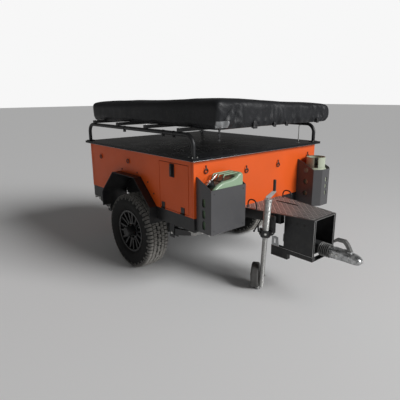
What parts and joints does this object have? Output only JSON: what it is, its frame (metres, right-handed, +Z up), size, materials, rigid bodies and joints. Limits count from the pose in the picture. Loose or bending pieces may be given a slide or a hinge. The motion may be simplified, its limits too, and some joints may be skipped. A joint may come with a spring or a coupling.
{
  "type": "camping trailer",
  "caption": "Off-road box trailer with drop-down doors, hinged lid with a folded roof tent on side hoops, wide tyres, ball coupling and jockey wheel.",
  "frame": {"origin": "on the floor, midway along the whole length and on the centre plane", "axes": "+X forward to the coupling, +Y to the trailer's left, +Z up"},
  "size_m": [2.748, 1.788, 1.638],
  "materials": {
    "orange_paint": "satin powder coat",
    "black_paint": "satin powder coat",
    "lid_paint": "smooth satin",
    "galvanised": "hot-dip galvanised",
    "cast_black": "painted casting",
    "zinc": "zinc plated",
    "stainless": "polished",
    "chequer": "chequer plate",
    "tyre_rubber": "matt",
    "rim_paint": "satin black",
    "rubber": "matt",
    "grey_rubber": "matt",
    "cover_fabric": "coated canvas",
    "can_paint": "satin",
    "bottle_paint": "satin",
    "black_plastic": "matt",
    "lamp_red": "gloss"
  },
  "bodies": {
    "body_and_chassis": {"body_floor": "black_paint", "front_panel": "orange_paint", "side_panel_right": "orange_paint", "side_panel_left": "orange_paint", "rear_panel": "orange_paint", "door_hinges": "black_paint", "wheel_arch_right": "black_paint", "wheel_arch_left": "black_paint", "sills": "black_paint", "chassis": "galvanised", "drawbar_arms": "black_paint", "drawbar_cover": "chequer", "drop_box": "black_paint", "low_rails": "black_paint", "overrun_housing": "cast_black", "bellows": "rubber", "coupling_head": "galvanised", "coupling_handle": "galvanised", "drawbar_hoops": "black_paint", "chain_eyes": "galvanised", "jockey_tube": "galvanised", "jockey_crank": "galvanised", "jockey_grip": "black_plastic", "jockey_clamp": "cast_black", "trailing_arms": "galvanised", "arm_brackets": "galvanised", "can_holder": "black_paint", "fuel_can": "can_paint", "gas_holder": "black_paint", "gas_bottle": "bottle_paint", "lid_seal": "rubber", "lid_hinges": "zinc", "lashing_rings": "stainless", "tail_lamps": "lamp_red", "plate_holder": "black_plastic", "steady_brackets": "black_paint"},
    "right_door": {"side_door_right": "orange_paint", "door_fittings_right": "black_paint"},
    "left_door": {"side_door_left": "orange_paint", "door_fittings_left": "black_paint"},
    "tail_gate": {"tailgate": "orange_paint", "tailgate_fittings": "black_paint"},
    "lid_and_tent": {"lid": "lid_paint", "side_hoops": "black_paint", "tent_carriers": "black_paint", "tent_cover": "cover_fabric"},
    "right_wheel": {"tyre_right": "tyre_rubber", "rim_right": "rim_paint", "hub_right": "cast_black"},
    "left_wheel": {"tyre_left": "tyre_rubber", "rim_left": "rim_paint", "hub_left": "cast_black"},
    "jockey_leg": {"jockey_inner": "galvanised"},
    "jockey_roller": {"jockey_wheel": "grey_rubber"},
    "front_right_steady": {"steady_front_right": "black_paint"},
    "front_left_steady": {"steady_front_left": "black_paint"},
    "rear_right_steady": {"steady_rear_right": "black_paint"},
    "rear_left_steady": {"steady_rear_left": "black_paint"}
  },
  "joints": [
    {"name": "right_door_hinge", "type": "hinge", "parent": "body_and_chassis", "child": "right_door", "pos_m": [0.116, -0.824, 0.712], "axis": [1, 0, 0], "range_deg": [0, 90]},
    {"name": "left_door_hinge", "type": "hinge", "parent": "body_and_chassis", "child": "left_door", "pos_m": [0.116, 0.824, 0.712], "axis": [-1, 0, 0], "range_deg": [0, 90]},
    {"name": "tail_gate_hinge", "type": "hinge", "parent": "body_and_chassis", "child": "tail_gate", "pos_m": [-1.345, 0, 0.712], "axis": [0, -1, 0], "range_deg": [0, 90]},
    {"name": "lid_hinge", "type": "hinge", "parent": "body_and_chassis", "child": "lid_and_tent", "pos_m": [-0.481, 0.866, 1.172], "axis": [-1, 0, 0], "range_deg": [0, 50]},
    {"name": "right_wheel_spin", "type": "hinge", "parent": "body_and_chassis", "child": "right_wheel", "pos_m": [-0.565, -0.749, 0.367], "axis": [0, 1, 0], "continuous": true},
    {"name": "left_wheel_spin", "type": "hinge", "parent": "body_and_chassis", "child": "left_wheel", "pos_m": [-0.565, 0.749, 0.367], "axis": [0, 1, 0], "continuous": true},
    {"name": "jockey_lift", "type": "slide", "parent": "body_and_chassis", "child": "jockey_leg", "axis": [0.0523, 0, 0.9986], "range_m": [0, 0.25]},
    {"name": "jockey_wheel_spin", "type": "hinge", "parent": "jockey_leg", "child": "jockey_roller", "pos_m": [0.60131, -0.22521, 0.112], "axis": [0.8192, 0.5736, 0], "continuous": true},
    {"name": "front_right_steady_hinge", "type": "hinge", "parent": "body_and_chassis", "child": "front_right_steady", "pos_m": [0.044, -0.764, 0.498], "axis": [0, 1, 0], "range_deg": [0, 100]},
    {"name": "front_left_steady_hinge", "type": "hinge", "parent": "body_and_chassis", "child": "front_left_steady", "pos_m": [0.044, 0.764, 0.498], "axis": [0, 1, 0], "range_deg": [0, 100]},
    {"name": "rear_right_steady_hinge", "type": "hinge", "parent": "body_and_chassis", "child": "rear_right_steady", "pos_m": [-1.056, -0.764, 0.498], "axis": [0, -1, 0], "range_deg": [0, 100]},
    {"name": "rear_left_steady_hinge", "type": "hinge", "parent": "body_and_chassis", "child": "rear_left_steady", "pos_m": [-1.056, 0.764, 0.498], "axis": [0, -1, 0], "range_deg": [0, 100]}
  ]
}
